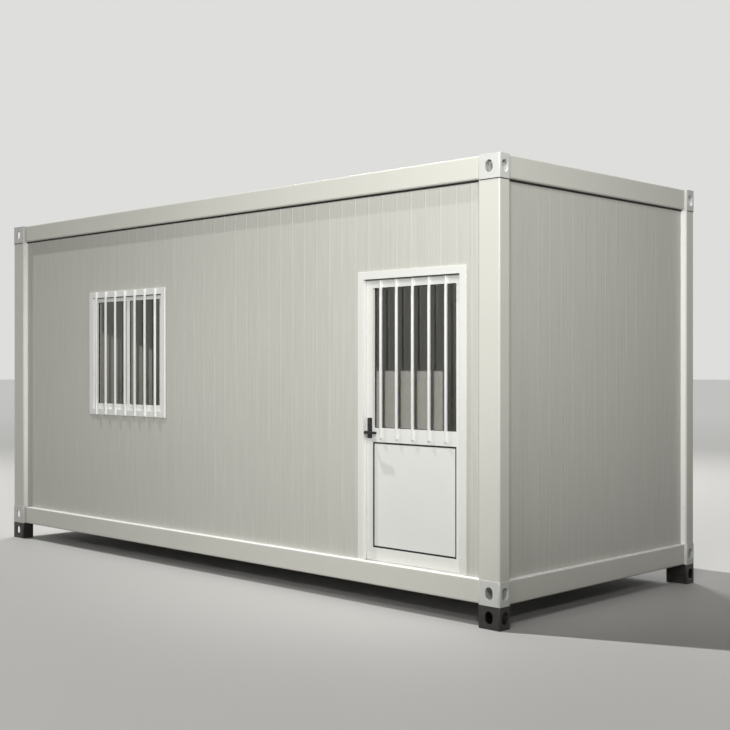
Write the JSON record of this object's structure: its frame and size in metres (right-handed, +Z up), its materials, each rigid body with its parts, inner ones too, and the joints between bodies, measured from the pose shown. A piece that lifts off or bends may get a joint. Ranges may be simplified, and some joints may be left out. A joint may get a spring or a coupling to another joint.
{
  "type": "container house",
  "caption": "Flat-pack container house: steel frame on feet, ribbed panel walls, glazed door that swings inwards, two windows.",
  "frame": {"origin": "on the ground, at the middle of the plan between the four feet", "axes": "+X along the length towards the door end, +Y from the front wall with the door to the back wall, +Z up"},
  "size_m": [6.055, 2.435, 3.046],
  "materials": {
    "painted_frame": "satin off-white paint on cold-formed steel",
    "wall_panel": "satin off-white coil coating on ribbed steel sheet",
    "ceiling_panel": "satin off-white coil coating",
    "window_profile": "satin white window profile",
    "door_profile": "satin white powder coat",
    "door_infill": "satin white coated sheet",
    "pane": "clear float glass",
    "black_foot": "satin black paint",
    "black_handle": "satin black powder coat",
    "galvanised": "galvanised steel",
    "roof_skin": "satin off-white coil coating",
    "floor_covering": "sheet vinyl on cement board"
  },
  "bodies": {
    "house": {"feet": "black_foot", "floor_castings": "painted_frame", "roof_castings": "painted_frame", "post_front_left": "painted_frame", "post_front_right": "painted_frame", "post_back_left": "painted_frame", "post_back_right": "painted_frame", "floor_beam_front": "painted_frame", "floor_beam_back": "painted_frame", "floor_beam_left": "painted_frame", "floor_beam_right": "painted_frame", "roof_beam_front": "painted_frame", "roof_beam_back": "painted_frame", "roof_beam_left": "painted_frame", "roof_beam_right": "painted_frame", "floor_joists": "galvanised", "floor_board": "floor_covering", "roof_purlins": "galvanised", "roof_sheet": "roof_skin", "ceiling": "ceiling_panel", "front_wall_left": "wall_panel", "front_wall_under_window": "wall_panel", "front_wall_over_window": "wall_panel", "front_wall_middle": "wall_panel", "front_wall_over_door": "wall_panel", "front_wall_right": "wall_panel", "back_wall_left": "wall_panel", "back_wall_under_window": "wall_panel", "back_wall_over_window": "wall_panel", "back_wall_right": "wall_panel", "left_end_wall": "wall_panel", "right_end_wall": "wall_panel", "front_window_frame": "window_profile", "front_window_sashes": "window_profile", "front_window_glass": "pane", "back_window_frame": "window_profile", "back_window_sashes": "window_profile", "back_window_glass": "pane", "door_frame": "door_profile", "door_frame_hinges": "door_profile"},
    "door": {"door_leaf": "door_profile", "door_panel": "door_infill", "door_glass": "pane", "door_leaf_hinges": "door_profile", "door_handle_plates": "black_handle"},
    "lever": {"door_lever": "black_handle"}
  },
  "joints": [
    {"name": "door_swing", "type": "hinge", "parent": "house", "child": "door", "pos_m": [2.6755, -1.0895, 1.3], "axis": [0, 0, -1], "range_deg": [0, 95]},
    {"name": "lever_turn", "type": "hinge", "parent": "door", "child": "lever", "pos_m": [1.8035, -1.1175, 1.216], "axis": [0, 1, 0], "range_deg": [0, 35], "stiffness_Nm_per_rad": 1, "springref_deg": -28.65}
  ]
}
